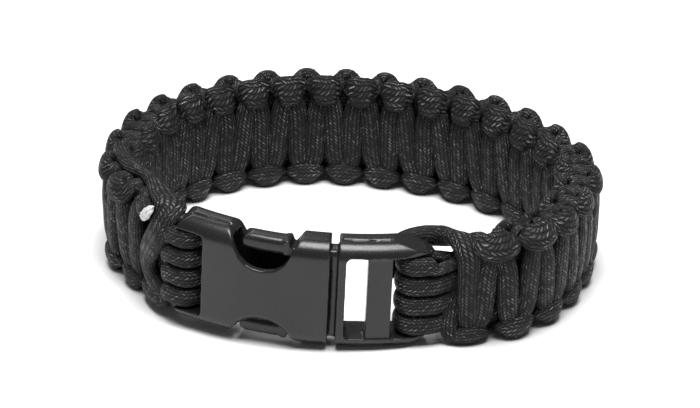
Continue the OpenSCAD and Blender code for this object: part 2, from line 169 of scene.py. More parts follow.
@dataclass(frozen=True)
class SheathedTube:
    """A braided cord along a path, pressed to a rounded oval.

    A ring's point at angle a is the centre + thick/2 * |cos a|^p * sign(cos a) along the normal
    + wide/2 * |sin a|^p * sign(sin a) along the binormal. Both ends close in a low dome.
    """

    around: int = 16
    power: float = 0.86
    # Rings of an end's dome, as shares of its reach, and the reach as a share of the thickness
    dome: Row = (0.0, 0.45, 0.8, 0.97)
    dome_reach: float = 0.35

    def build(self, name: str, centre: Array, out: Array, wide: Array, thick: Array) -> bpy.types.Object:
        """Builds the tube with a UV map that holds turns around and millimetres along.

        Args:
            name: Name of the piece.
            centre: Middle line in millimetres, one point a row.
            out: Direction of the cord's thin side at each point, roughly square to the line.
            wide: Full width at each point.
            thick: Full thickness at each point.

        Returns:
            The piece.
        """
        run = unit(np.gradient(centre, axis=0))
        normal = unit(out - np.sum(out * run, axis=1, keepdims=True) * run)
        side = np.cross(run, normal)
        along = run_length(centre)
        lift = np.array(self.dome)[:, None]
        tail = np.arange(len(self.dome))
        shrink = np.sqrt(1.0 - np.array(self.dome) ** 2)
        end = len(centre) - 1
        pick = np.concatenate([np.zeros_like(tail), np.arange(end + 1), np.full_like(tail, end)])
        reach = self.dome_reach * thick[[0, -1]]
        centre = np.vstack([
            (centre[0] - lift * reach[0] * run[0])[::-1],
            centre,
            centre[-1] + lift * reach[1] * run[-1],
        ])
        scale = np.concatenate([shrink[::-1], np.ones(len(along)), shrink])
        run_at = np.concatenate([
            (along[0] - lift[:, 0] * reach[0])[::-1],
            along,
            along[-1] + lift[:, 0] * reach[1],
        ])
        a = np.linspace(0.0, 2.0 * np.pi, self.around, endpoint=False)
        c = np.sign(np.cos(a)) * np.abs(np.cos(a)) ** self.power
        q = np.sign(np.sin(a)) * np.abs(np.sin(a)) ** self.power
        half_t = (thick[pick] * scale / 2)[:, None, None]
        half_w = (wide[pick] * scale / 2)[:, None, None]
        points = (
            centre[:, None, :]
            + half_t * c[None, :, None] * normal[pick][:, None, :]
            + half_w * q[None, :, None] * side[pick][:, None, :]
        )
        piece = ring_mesh(name, points)
        self._map(piece, run_at)
        return piece

    def _map(self, piece: bpy.types.Object, along: Array) -> None:
        """Writes the UV map: u is the share of a turn, v the millimetres along the cord.

        Args:
            piece: The tube.
            along: Length along the cord at each ring.
        """
        turn = np.arange(self.around)[None, :, None] + np.array([0, 1, 1, 0])
        ring = np.arange(len(along) - 1)[:, None, None] + np.array([0, 0, 1, 1])
        u, v = np.broadcast_arrays(turn / self.around, along[ring])
        ends = np.linspace(0.0, 1.0, self.around)
        first, last = (np.full(self.around, at) for at in along[[0, -1]])
        u = np.concatenate([u.ravel(), ends, ends])
        v = np.concatenate([v.ravel(), first, last])
        layer = piece.data.uv_layers.new(name=SHEATH_MAP)
        layer.data.foreach_set("uv", np.stack([u, v], axis=-1).ravel().astype(np.float32))


def adopt(piece: bpy.types.Object, slot: Slot, material: bpy.types.Material, *nodes: str) -> None:
    """Gives a piece its material and the body it rides on, and hides the nodes it stands for.

    Args:
        piece: The new piece.
        slot: Material slot; not used.
        material: Its finish.
        nodes: CAD nodes that it replaces, if any.
    """
    piece.data.materials.clear()
    piece.data.materials.append(material)
    if nodes:
        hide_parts(*nodes)
    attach(piece, "root")
    log.info("%s: %d faces", piece.name, len(piece.data.polygons))


# Finishes


class NodeTree:
    """Short ways to add and link shader nodes in one tree."""

    def __init__(self, tree: bpy.types.NodeTree) -> None:
        """Keeps the tree."""
        self.tree = tree

    def add(self, kind: str, inputs: Inputs = (), **values: object) -> bpy.types.NodeOutputs:
        """Adds a node, sets its properties and feeds its inputs.

        Args:
            kind: Node type, without the ShaderNode prefix.
            inputs: Its inputs by name, or the first of them in turn.
            values: Properties to set.

        Returns:
            Its outputs.
        """
        node = self.tree.nodes.new("ShaderNode" + kind)
        for name, value in values.items():
            setattr(node, name, value)
        pairs = inputs.items() if isinstance(inputs, dict) else enumerate(inputs)
        for key, value in pairs:
            self.feed(node.inputs[key], value)
        return node.outputs

    def feed(self, socket: Socket, value: object) -> None:
        """Links a socket to an output, or sets its value.

        Args:
            socket: The input.
            value: An output socket, a number or a colour.
        """
        if isinstance(value, Socket):
            self.tree.links.new(value, socket)
        else:
            socket.default_value = value

    def math(self, operation: str, *values: object) -> Socket:
        """Result of a Math node, its inputs fed in turn."""
        return self.add("Math", values, operation=operation)[0]

    def hump(self, value: Socket) -> Socket:
        """1 - (2x - 1)^2, which is 0 at x = 0 and 1 and rises to 1 between."""
        centred = self.math("ABSOLUTE", self.math("MULTIPLY_ADD", value, 2.0, -1.0))
        return self.math("SUBTRACT", 1.0, self.math("POWER", centred, 2.0))

    def rescale(self, value: Socket, *limits: float) -> Socket:
        """Result of a smooth Map Range node; limits are low and high, then what they become."""
        return self.add("MapRange", (value, *limits), interpolation_type="SMOOTHSTEP")[0]

    def blend(self, share: Socket, first: object, second: object) -> Socket:
        """Colour between two, by the share of the second."""
        colours = {"Factor": share, "A": first, "B": second}
        return self.add("Mix", colours, data_type="RGBA")["Result"]


class MaterialTree(NodeTree):
    """The node tree of a new material with a Principled BSDF."""

    def __init__(self, name: str, specular: float = 0.5) -> None:
        """Starts the material.

        Args:
            name: Its name.
            specular: Strength of its reflections, 0.5 for common glossy stuff.
        """
        self.material = bpy.data.materials.new(name)
        self.material.use_nodes = True
        super().__init__(self.material.node_tree)
        self.shader = self.tree.nodes["Principled BSDF"].inputs
        self.shader["Specular IOR Level"].default_value = specular

    def paint(self, colour: object, roughness: object) -> None:
        """Feeds the shader's colour and roughness."""
        self.feed(self.shader["Base Color"], colour)
        self.feed(self.shader["Roughness"], roughness)

    def emboss(self, height: Socket, strength: float, depth: float) -> None:
        """Lays a relief on the surface, its depth in millimetres."""
        bump = self.add("Bump", {"Strength": strength, "Distance": depth * MM, "Height": height})
        self.feed(self.shader["Normal"], bump[0])


def grey(value: float, warm: float = 0.0) -> tuple[float, float, float, float]:
    """A neutral colour, warmer for a warm above 0 and cooler below it."""
    return (value * (1 + warm), value, value * (1 - warm), 1.0)


class EffectGroups:
    """Node groups for the effects that the finishes share, each built once.

    The sine of three filaments runs through 6 pi in a stitch.
    """

    THREE_WAVES = 18.85

    def __init__(self) -> None:
        """Builds the groups."""
        self.braid = self.braid_group()
        self.grain = self.grain_group()

    @staticmethod
    def open_group(
        name: str, inputs: dict[str, float | None], outputs: tuple[str, ...]
    ) -> tuple[NodeTree, bpy.types.NodeOutputs, bpy.types.NodeInputs]:
        """Starts a group with its sockets.

        Args:
            name: Name of the group.
            inputs: Input names with their default, or None for a vector.
            outputs: Names of the values that it puts out.

        Returns:
            The group's tree, what comes in and what goes out.
        """
        tree = bpy.data.node_groups.new(name, "ShaderNodeTree")
        for key, value in inputs.items():
            kind = "NodeSocketVector" if value is None else "NodeSocketFloat"
            socket = tree.interface.new_socket(key, in_out="INPUT", socket_type=kind)
            if value is not None:
                socket.default_value = value
        for key in outputs:
            tree.interface.new_socket(key, in_out="OUTPUT", socket_type="NodeSocketFloat")
        given, put = (tree.nodes.new("NodeGroup" + side) for side in ("Input", "Output"))
        return NodeTree(tree), given.outputs, put.inputs

    def braid_group(self) -> bpy.types.NodeTree:
        """Braided sheath: columns of slanted stitches, leaning left and right in turn.

        With x = turns * columns and y = length / stitch + slope * (x - 0.5) in even columns or
        minus that in odd ones, a stitch is a cell of whole x and y. With a = 1 - (2x - 1)^2 and
        b = 1 - (2y - 1)^2 its height is the root of a * b, the mask of the painted glint (a spot of
        light laid into the colour) on its crest is a^2 * b^3, and each stitch has its own random shade.

        Returns:
            The group.
        """
        inputs = {"Map": None, "Columns": 16.0, "Stitch": 1.0, "Slope": 0.7}
        outputs = ("Height", "Speck", "Shade", "Filament")
        n, given, put = self.open_group("braided_sheath", inputs, outputs)
        turns, length, _ = n.add("SeparateXYZ", (given["Map"],))
        x = n.math("MULTIPLY", turns, given["Columns"])
        column = n.math("FLOOR", x)
        fx = n.math("FRACT", x)
        odd = n.math("MODULO", column, 2.0)
        lean = n.math("SUBTRACT", 1.0, n.math("MULTIPLY", odd, 2.0))
        slope = n.math("MULTIPLY", lean, given["Slope"])
        slant = n.math("MULTIPLY", n.math("SUBTRACT", fx, 0.5), slope)
        y = n.math("ADD", n.math("DIVIDE", length, given["Stitch"]), slant)
        y = n.math("ADD", y, n.math("MULTIPLY", odd, 0.5))
        fy = n.math("FRACT", y)
        across, down = n.hump(fx), n.hump(fy)
        cell = n.add("CombineXYZ", (column, n.math("FLOOR", y)))[0]
        noise = n.add("TexWhiteNoise", {"Vector": cell}, noise_dimensions="2D")
        threads = n.math("SINE", n.math("MULTIPLY", fy, self.THREE_WAVES))
        # Painted glint: mask of the spot of light on the stitch's crest, laid into the cord's colour
        speck = n.math("MULTIPLY", n.math("POWER", across, 2.0), n.math("POWER", down, 3.0))
        n.feed(put["Height"], n.math("POWER", n.math("MULTIPLY", across, down), 0.5))
        n.feed(put["Speck"], speck)
        n.feed(put["Shade"], noise["Value"])
        n.feed(put["Filament"], n.math("MULTIPLY_ADD", threads, 0.5, 0.5))
        return n.tree

    def grain_group(self) -> bpy.types.NodeTree:
        """Fine grain and broad cloudiness in Object coordinates.

        Returns:
            The group.
        """
        inputs = {"Grain": 0.25, "Cloud": 6.0}
        n, given, put = self.open_group("surface_grain", inputs, ("Fine", "Broad"))
        where = n.add("TexCoord")["Object"]
        for key, source, detail in (("Fine", "Grain", 2.0), ("Broad", "Cloud", 3.0)):
            scale = n.math("DIVIDE", 1 / MM, given[source])
            noise = {"Vector": where, "Scale": scale, "Detail": detail}
            n.feed(put[key], n.add("TexNoise", noise, noise_dimensions="3D")["Fac"])
        return n.tree


@dataclass(frozen=True)
class CordFinish:
    """Black braided nylon, with painted shade in the grooves and painted glints on the stitch crests."""

    # Painted shade: colour of the grooves between stitches, darker than the crests' base tone
    dark: float = 0.002
    base: float = 0.012
    base_cool: float = -0.03
    # Painted glint: light grey colour of the spots of light on the stitch crests
    painted_glint: float = 0.3
    painted_glint_cool: float = -0.02
    columns: float = 17.0
    stitch: float = 0.72
    slope: float = 1.25
    grain: float = 0.28
    cloud: float = 5.0
    relief: float = 0.14
    strength: float = 1.0
    filaments: float = 0.12
    roughness: float = 0.55
    rougher: float = 0.12
    smoother: float = 0.1
    specular: float = 0.22
    # What each value is rescaled by: low and high as it comes, then what they become
    crest: Row = (0.25, 0.9, 0.0, 1.0)
    shade: Row = (0.1, 1.0, 0.12, 1.0)
    speck: Row = (0.15, 0.9, 0.0, 1.0)
    fine: Row = (0.4, 0.6, 0.12, 1.0)
    broad: Row = (0.36, 0.62, 0.3, 1.0)

    def material(self, effects: EffectGroups) -> bpy.types.Material:
        """Builds the material.

        Args:
            effects: The shared node groups.

        Returns:
            The material.
        """
        n = MaterialTree("braided_cord", self.specular)
        weave = {"Columns": self.columns, "Stitch": self.stitch, "Slope": self.slope}
        weave["Map"] = n.add("UVMap", uv_map=SHEATH_MAP)[0]
        braid = n.add("Group", weave, node_tree=effects.braid)
        grain = n.add("Group", {"Grain": self.grain, "Cloud": self.cloud}, node_tree=effects.grain)
        # Painted shade: the colour darkens from the cord's tone on the stitch crests into the grooves
        crest = n.rescale(braid["Height"], *self.crest)
        tone_and_groove_shade = n.blend(crest, grey(self.dark), grey(self.base, self.base_cool))
        # Painted glints: spots of light on the crests, brighter or dimmer stitch by stitch and patch by
        # patch, mixed into the colour
        painted_glint_share = n.rescale(braid["Shade"], *self.shade)
        pairs = ((braid["Speck"], self.speck), (grain["Fine"], self.fine), (grain["Broad"], self.broad))
        for value, limits in pairs:
            painted_glint_share = n.math("MULTIPLY", painted_glint_share, n.rescale(value, *limits))
        rough, fine = self.roughness + self.rougher, self.roughness - self.smoother
        roughness = n.rescale(braid["Shade"], 0.0, 1.0, rough, fine)
        n.paint(n.blend(painted_glint_share, tone_and_groove_shade, grey(self.painted_glint, self.painted_glint_cool)), roughness)
        relief = n.math("ADD", braid["Height"], n.math("MULTIPLY", braid["Filament"], self.filaments))
        n.emboss(relief, self.strength, self.relief)
        return n.material


@dataclass(frozen=True)
class PlasticFinish:
    """Satin moulded plastic, dark grey, with a fine sparked grain."""

    tone: float = 0.012
    worn: float = 0.016
    cool: float = -0.01
    roughness: float = 0.27
    rougher: float = 0.07
    smoother: float = 0.05
    specular: float = 0.42
    grain: float = 0.22
    cloud: float = 9.0
    relief: float = 0.012
    strength: float = 0.6
    broad: Row = (0.35, 0.7, 0.0, 1.0)
    fine: Row = (0.3, 0.7)

    def material(self, effects: EffectGroups) -> bpy.types.Material:
        """Builds the material.

        Args:
            effects: The shared node groups.

        Returns:
            The material.
        """
        n = MaterialTree("satin_plastic", self.specular)
        grain = n.add("Group", {"Grain": self.grain, "Cloud": self.cloud}, node_tree=effects.grain)
        share = n.rescale(grain["Broad"], *self.broad)
        low, high = self.roughness - self.smoother, self.roughness + self.rougher
        roughness = n.rescale(grain["Fine"], *self.fine, low, high)
        n.paint(n.blend(share, grey(self.tone, self.cool), grey(self.worn, self.cool)), roughness)
        n.emboss(grain["Fine"], self.strength, self.relief)
        return n.material


@dataclass(frozen=True)
class MeltedFinish:
    """White nylon that was melted and pressed, with small grey pits."""

    tone: float = 0.6
    pit: float = 0.2
    warm: float = 0.02
    roughness: float = 0.4
    grain: float = 0.5
    cloud: float = 1.4
    relief: float = 0.2
    strength: float = 0.7
    pitted: Row = (0.56, 0.68, 0.0, 1.0)

    def material(self, effects: EffectGroups) -> bpy.types.Material:
        """Builds the material.

        Args:
            effects: The shared node groups.

        Returns:
            The material.
        """
        n = MaterialTree("melted_nylon")
        grain = n.add("Group", {"Grain": self.grain, "Cloud": self.cloud}, node_tree=effects.grain)
        pits = n.rescale(grain["Fine"], *self.pitted)
        n.paint(n.blend(pits, grey(self.tone, self.warm), grey(self.pit, self.warm)), self.roughness)
        n.emboss(grain["Fine"], self.strength, self.relief)
        return n.material


@dataclass(frozen=True)
class Finishes:
    """The three finishes of the bracelet, ready to assign."""

    cord: bpy.types.Material
    plastic: bpy.types.Material
    melted: bpy.types.Material

    @classmethod
    def make(cls) -> "Finishes":
        """Builds every finish."""
        effects = EffectGroups()
        return cls(
            cord=CordFinish().material(effects),
            plastic=PlasticFinish().material(effects),
            melted=MeltedFinish().material(effects),
        )


# The loop's own measures


@dataclass
class Loop:
    """Middle line of the closed loop, with the same sizes as the part's source."""

    width: float = 97.6
    depth: float = 74.0
    band_h: float = 23.0
    band_t: float = 8.6
    flare: float = 0.8
    buckle_h: float = 22.4
    buckle_t: float = 7.6
    buckle_out: float = 1.8
    bend_r: float = 56.0
    mouth_deg: float = -3.2
    plug_bar_u: float = 16.6
    socket_bar_u: float = -29.5
    roll_deg: float = 2.5
    roll_x: float = -2.0
    lift: float = 0.5
    oval_x: float = -0.07
    oval_front: float = 0.09
    bend_left: float = 0.8
    steps: int = 40
    head_step: float = 0.9
    # Share of the half width, share of the half depth
    shares: tuple[Row, ...] = (
        (0.620, -0.955),
        (0.800, -0.795),
        (0.925, -0.520),
        (1.000, -0.130),
        (0.910, 0.190),
        (0.750, 0.490),
        (0.510, 0.745),
        (0.180, 0.930),
        (-0.200, 1.000),
        (-0.580, 0.880),
        (-0.860, 0.590),
        (-0.980, 0.210),
        (-0.985, -0.140),
        (-0.860, -0.430),
    )
    mid: Array = field(init=False)
    bend: Array = field(init=False)
    line: Array = field(init=False)
    at: Array = field(init=False)

    def __post_init__(self) -> None:
        """Works out the middle line as a Catmull-Rom curve through the guide points."""
        out = (self.buckle_out + (self.buckle_t - self.band_t) / 2) / 2
        self.mid = np.array([self.oval_x, out - self.oval_front])
        self.bend = np.array([
            self.mid[0] - self.bend_left,
            self.mid[1] + self.bend_r - self.depth / 2 + self.band_t / 2 - self.buckle_out,
        ])
        half = np.array([self.width - self.band_t, self.depth - self.band_t]) / 2
        plug = self.on_bend(np.array([self.plug_bar_u]), np.zeros(1))
        socket = self.on_bend(np.array([self.socket_bar_u]), np.zeros(1))
        knots = np.vstack([plug, self.mid + np.array(self.shares) * half, socket])
        span = np.linalg.norm(knots[1] - knots[0])
        first = plug - self.bend_dir(self.plug_bar_u) * span
        last = socket + self.bend_dir(self.socket_bar_u) * span
        guides = np.vstack([first, knots, last])
        t = np.arange(self.steps)[None, :, None] / self.steps
        a, b, c, d = (guides[k : len(guides) - 3 + k, None, :] for k in range(4))
        curve = 0.5 * (
            2 * b + (c - a) * t + (2 * a - 5 * b + 4 * c - d) * t**2 + (3 * b - a - 3 * c + d) * t**3
        )
        self.line = np.vstack([curve.reshape(-1, 2), socket])
        self.at = run_length(self.line)

    @property
    def length(self) -> float:
        """Length of the middle line from bar to bar."""
        return float(self.at[-1])

    def on_bend(self, u: Array, w: Array) -> Array:
        """Points on the buckle's bend.

        Args:
            u: Distances along the bend from the socket's mouth.
            w: Distances outwards from its middle line.

        Returns:
            Points x, y, one a row.
        """
        a = np.radians(self.mouth_deg) + u / self.bend_r
        r = self.bend_r + w
        return np.stack([self.bend[0] + r * np.sin(a), self.bend[1] - r * np.cos(a)], axis=-1)

    def bend_dir(self, u: float) -> Array:
        """Direction of the bend at u."""
        a = math.radians(self.mouth_deg) + u / self.bend_r
        return np.array([math.cos(a), math.sin(a)])

    def flat(self, s: Array) -> Array:
        """Points of the middle line in plan; beyond either bar it follows the buckle's bend.

        Args:
            s: Lengths along the line.

        Returns:
            Points x, y, one a row.
        """
        inside = np.stack([np.interp(s, self.at, self.line[:, k]) for k in range(2)], axis=-1)
        before = self.on_bend(self.plug_bar_u + s, np.zeros_like(s))
        after = self.on_bend(self.socket_bar_u + s - self.length, np.zeros_like(s))
        s = s[:, None]
        return np.where(s < 0, before, np.where(s > self.length, after, inside))

    def place(self, s: Array, w: Array, v: Array) -> Array:
        """Band coordinates into x, y, z: w lies along the line's outward normal.

        Args:
            s: Length along the line.
            w: Distance outwards.
            v: Height above the middle of the band.

        Returns:
            Points in millimetres, one a row.
        """
        head = unit(self.flat(s + self.head_step) - self.flat(s - self.head_step))
        p = self.flat(s)
        x, y = p[:, 0] + w * head[:, 1], p[:, 1] - w * head[:, 0]
        return np.stack([x, y, self.band_h / 2 + v], axis=-1)

    def leaned(self, s: Array, w: Array, v: Array) -> Array:
        """As place, with the band leaning outwards towards its top."""
        return self.place(s, w + self.flare * v / self.band_h, v)

    def rolled(self, points: Array) -> Array:
        """Points turned about the front-to-back line as the buckle is, and set down.

        Args:
            points: Points with z measured from the buckle's lower edge.

        Returns:
            Turned points.
        """
        a = math.radians(self.roll_deg)
        x = points[:, 0] - self.roll_x
        z = points[:, 2] - self.buckle_h / 2
        return np.stack([
            x * math.cos(a) + z * math.sin(a) + self.roll_x,
            points[:, 1],
            z * math.cos(a) - x * math.sin(a) + self.buckle_h / 2 + self.lift,
        ], axis=-1)


# The cobra weave


@dataclass
class CobraWeave:
    """Two working strands that cross the band in turn and hook round each other at both edges.

    Leg k of a strand crosses its face k half-knots on from the first one. Even legs run up and
    odd legs run down, so the strand goes up, over the top edge, along behind the other strand's
    legs, back over the edge and down. The second strand is the first turned half a turn about
    the band.
    """

    loop: Loop
    plug_lead: float = 8.0
    socket_lead: float = 4.6
    knot_len: float = 8.0
    turn_shift: float = 6.5
    core_half: float = 8.2
    sample: float = 0.5
    # Pads are the turns over the top edge, told by their height and distance from the middle line
    pad_foot: float = 8.0
    pad_inward: float = 2.2
    pad_outward: float = 1.8
    # How far the inner pads are raised and widened along the loop's far stretch, the share of
    # that elsewhere, the stretch, and the length over which a change of height fades
    pad_rise: float = 0.6
    pad_grow: float = 0.8
    pad_least: float = 0.3
    pad_stretch: tuple[float, float] = (48.0, 150.0)
    pad_fade: float = 12.0
    # How far the outer pads beside the plug are raised, widened and drawn in, and up to where
    near_rise: float = 1.1
    near_grow: float = 1.1
    near_in: float = 0.2
    near_until: float = 22.0
    # Where the knots stand off an even spacing: share of the band's length, then in knots along
    # the top edge and along the lower edge
    drift: tuple[Row, ...] = (
        (0.00, 0.05, 0.00),
        (0.05, 0.02, -0.01),
        (0.14, -0.06, -0.06),
        (0.25, 0.08, -0.20),
        (0.34, 0.20, -0.22),
        (0.46, 0.12, -0.10),
        (0.58, -0.04, 0.02),
        (0.70, -0.20, 0.24),
        (0.79, -0.40, 0.00),
        (0.89, -0.24, -0.36),
        (0.96, -0.30, -0.20),
        (1.00, -0.34, 0.00),
    )
    # Second half of a leg that runs up the outer face, and of the turn that follows it behind:
    # distance along from its middle, distance outwards, height, width, thickness
    leg: tuple[Row, ...] = (
        (0.00, 2.90, 0.0, 4.4, 2.8),
        (-0.34, 2.75, 4.8, 4.2, 2.8),
        (-0.80, 2.25, 7.2, 3.7, 2.8),
        (-0.90, 1.50, 8.5, 2.9, 2.8),
        (-0.80, 0.40, 9.0, 2.5, 3.0),
    )
    turn: tuple[Row, ...] = (
        (0.90, -3.00, 9.00, 5.3, 2.8),
        (1.70, -2.70, 9.05, 5.0, 2.7),
        (2.10, -1.90, 9.10, 4.2, 2.7),
        (2.15, -0.80, 9.20, 2.7, 2.8),
    )
    start: float = field(init=False)
    length: float = field(init=False)
    half_knots: int = field(init=False)
    step: float = field(init=False)
    first: float = field(init=False)
    end: float = field(init=False)

    def __post_init__(self) -> None:
        """Fits a whole number of half-knots between the two leads."""
        self.start = self.plug_lead
        self.length = self.loop.length - self.plug_lead - self.socket_lead
        self.half_knots = round(2 * self.length / self.knot_len)
        self.step = self.length / self.half_knots
        self.first = self.start + self.turn_shift - 1.5 * self.step
        self.end = self.start + self.length

    def drifted(self, s: Array, v: Array) -> Array:
        """Even positions s moved to where the knots stand, which differs with the height v.

        The shift is a mean of the top edge's and the lower edge's shifts, weighted by height.

        Args:
            s: Positions along the line by an even spacing.
            v: Heights above the middle of the band.

        Returns:
            Positions along the line.
        """
        table = np.array(self.drift)
        at = (s - self.start) / self.length
        top, low = (np.interp(at, table[:, 0], table[:, k]) for k in (1, 2))
        up = np.clip(2 * v / self.loop.band_h, -1.0, 1.0)
        return s + self.step * ((1 + up) * top + (1 - up) * low)

    def strand_rows(self, legs: range) -> Array:
        """Rows of one strand over the given legs, each followed by its turn.

        A leg's first half is its second one turned half a turn, and a turn's is mirrored. Odd
        legs and their turns are the even ones upside down. The legs lean, which closes the ends
        of legs k and k + 1 in under the turn that lies over them.

        Args:
            legs: Numbers of the legs.

        Returns:
            Rows of s, w, v, width and thickness.
        """
        leg, turn = np.array(self.leg), np.array(self.turn)
        leg = np.vstack([leg[:0:-1] * np.array([-1.0, 1.0, -1.0, 1.0, 1.0]), leg])
        turn = np.vstack([turn[::-1] * np.array([-1.0, 1.0, 1.0, 1.0, 1.0]), turn])
        k = np.arange(legs.start, legs.stop)[:, None]
        knots = []
        for shape, at in ((leg, k), (turn, k + 0.5)):
            rows = np.repeat(shape[None], len(k), axis=0)
            rows[:, :, 0] += self.first + at * self.step
            rows[:, :, 2] *= np.where(k % 2 == 0, 1.0, -1.0)
            knots.append(rows)
        return np.concatenate(knots, axis=1).reshape(-1, 5)

    def pads_raised(self, rows: Array) -> Array:
        """Rows with the inner pads raised and widened, most of all along the far stretch.

        Args:
            rows: Rows of strand one.

        Returns:
            The same rows with taller pads.
        """
        start, stop = ((rows[:, 0] - s) / self.pad_fade for s in self.pad_stretch)
        far = ease(start) * (1.0 - ease(stop))
        pad = (rows[:, 1] < -self.pad_inward) & (rows[:, 2] > self.pad_foot)
        share = (self.pad_least + (1.0 - self.pad_least) * far) * pad
        return rows + share[:, None] * np.array([0.0, 0.0, self.pad_rise, self.pad_grow, 0.0])

    def near_pads_raised(self, rows: Array) -> Array:
        """Rows with the outer pads beside the plug raised and widened.

        Args:
            rows: Rows of strand two.

        Returns:
            The same rows with taller pads.
        """
        near = 1.0 - ease((rows[:, 0] - self.near_until) / self.pad_fade)
        pad = (rows[:, 1] > self.pad_outward) & (rows[:, 2] > self.pad_foot)
        change = np.array([0.0, -self.near_in, self.near_rise, self.near_grow, 0.0])
        return rows + (near * pad)[:, None] * change

    @staticmethod
    def other_face(rows: Array) -> Array:
        """The same rows turned half a turn about the band."""
        return rows * np.array([1.0, -1.0, -1.0, 1.0, 1.0])

    def tube(self, name: str, rows: Array) -> bpy.types.Object:
        """Builds a strand from rows, its thin side facing away from the core strands.

        The outward direction is that from the nearest point of a line as high as the core,
        2 * core_half, so it turns from w on a leg to v over an edge.

        Args:
            name: Name of the piece.
            rows: Rows of s, w, v, width and thickness.

        Returns:
            The strand.
        """
        fine = smooth(rows, self.sample)
        s, w, v, wide, thick = fine.T
        s = self.drifted(s, v)
        out_v = v - np.clip(v, -self.core_half, self.core_half)
        size = np.maximum(np.hypot(w, out_v), 1e-6)
        centre = self.loop.leaned(s, w, v)
        hint = self.loop.leaned(s, w + w / size, v + out_v / size) - centre
        return SheathedTube().build(name, centre, hint, wide, thick)


